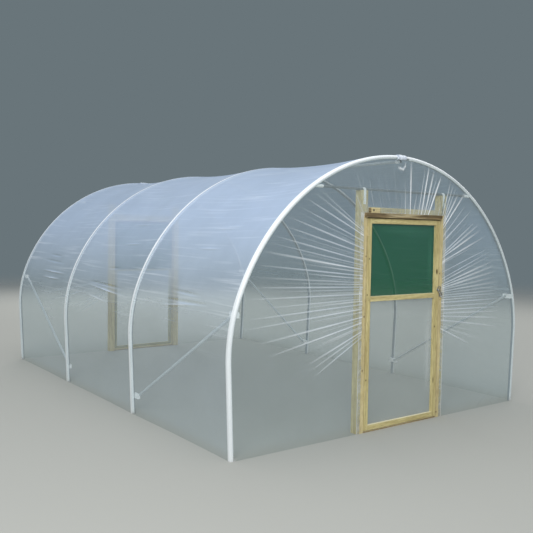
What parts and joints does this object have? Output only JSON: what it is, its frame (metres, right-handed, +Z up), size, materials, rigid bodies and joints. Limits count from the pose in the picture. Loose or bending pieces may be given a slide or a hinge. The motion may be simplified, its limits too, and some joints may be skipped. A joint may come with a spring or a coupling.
{
  "type": "polytunnel greenhouse",
  "caption": "Walk-in garden polytunnel: taped steel hoops under clear film, a timber frame and hinged mesh-topped door in each end.",
  "frame": {"origin": "centre of the footprint, on the ground", "axes": "+Z up, +Y along the tunnel from the pictured door end to the other, +X to the right seen from outside the pictured door"},
  "size_m": [3.3216, 4.6486, 2.2215],
  "materials": {
    "galvanised": "galvanised steel tube, dull grey",
    "hoop_tape": "white foam tape, matt",
    "film": "clear polythene film, glossy, faintly milky",
    "strap": "white coated steel strap",
    "hinge_steel": "zinc plated, dulled",
    "latch_steel": "bright zinc plated steel, scuffed",
    "timber": "sawn softwood, pale green tanalised",
    "weathered_timber": "sawn softwood, brown and weathered",
    "mesh": "dark green woven shade netting"
  },
  "bodies": {
    "tunnel": {"hoop_front": "galvanised", "hoop_second": "galvanised", "hoop_third": "galvanised", "hoop_rear": "galvanised", "hoop_tape": "hoop_tape", "ridge_tube": "galvanised", "ridge_clamps": "galvanised", "crop_bar_front": "galvanised", "crop_bar_rear": "galvanised", "crop_bar_clamps": "galvanised", "brace_front_left": "galvanised", "brace_front_right": "galvanised", "brace_rear_left": "galvanised", "brace_rear_right": "galvanised", "brace_clamps": "galvanised", "cover_bay_front": "film", "cover_bay_middle": "film", "cover_bay_rear": "film", "post_straps": "strap", "hinge_plates": "hinge_steel", "front_film_left": "film", "front_film_right": "film", "front_film_top": "film", "front_door_posts": "timber", "front_lintel": "timber", "front_batten": "weathered_timber", "front_cover_strips": "timber", "front_sill": "weathered_timber", "rear_film_left": "film", "rear_film_right": "film", "rear_film_top": "film", "rear_door_posts": "timber", "rear_lintel": "timber", "rear_batten": "weathered_timber", "rear_cover_strips": "timber", "rear_sill": "weathered_timber"},
    "front_door": {"front_door_frame": "timber", "front_door_mesh": "mesh", "front_door_film": "film", "front_door_hinges": "hinge_steel", "front_door_latch": "latch_steel"},
    "rear_door": {"rear_door_frame": "timber", "rear_door_mesh": "mesh", "rear_door_film": "film", "rear_door_hinges": "hinge_steel", "rear_door_latch": "latch_steel"}
  },
  "joints": [
    {"name": "front_door_hinge", "type": "hinge", "parent": "tunnel", "child": "front_door", "pos_m": [-0.3665, -2.3092, 0.95], "axis": [0, 0, -1], "range_deg": [0, 160]},
    {"name": "rear_door_hinge", "type": "hinge", "parent": "tunnel", "child": "rear_door", "pos_m": [0.4345, 2.3092, 0.95], "axis": [0, 0, -1], "range_deg": [0, 160]}
  ]
}
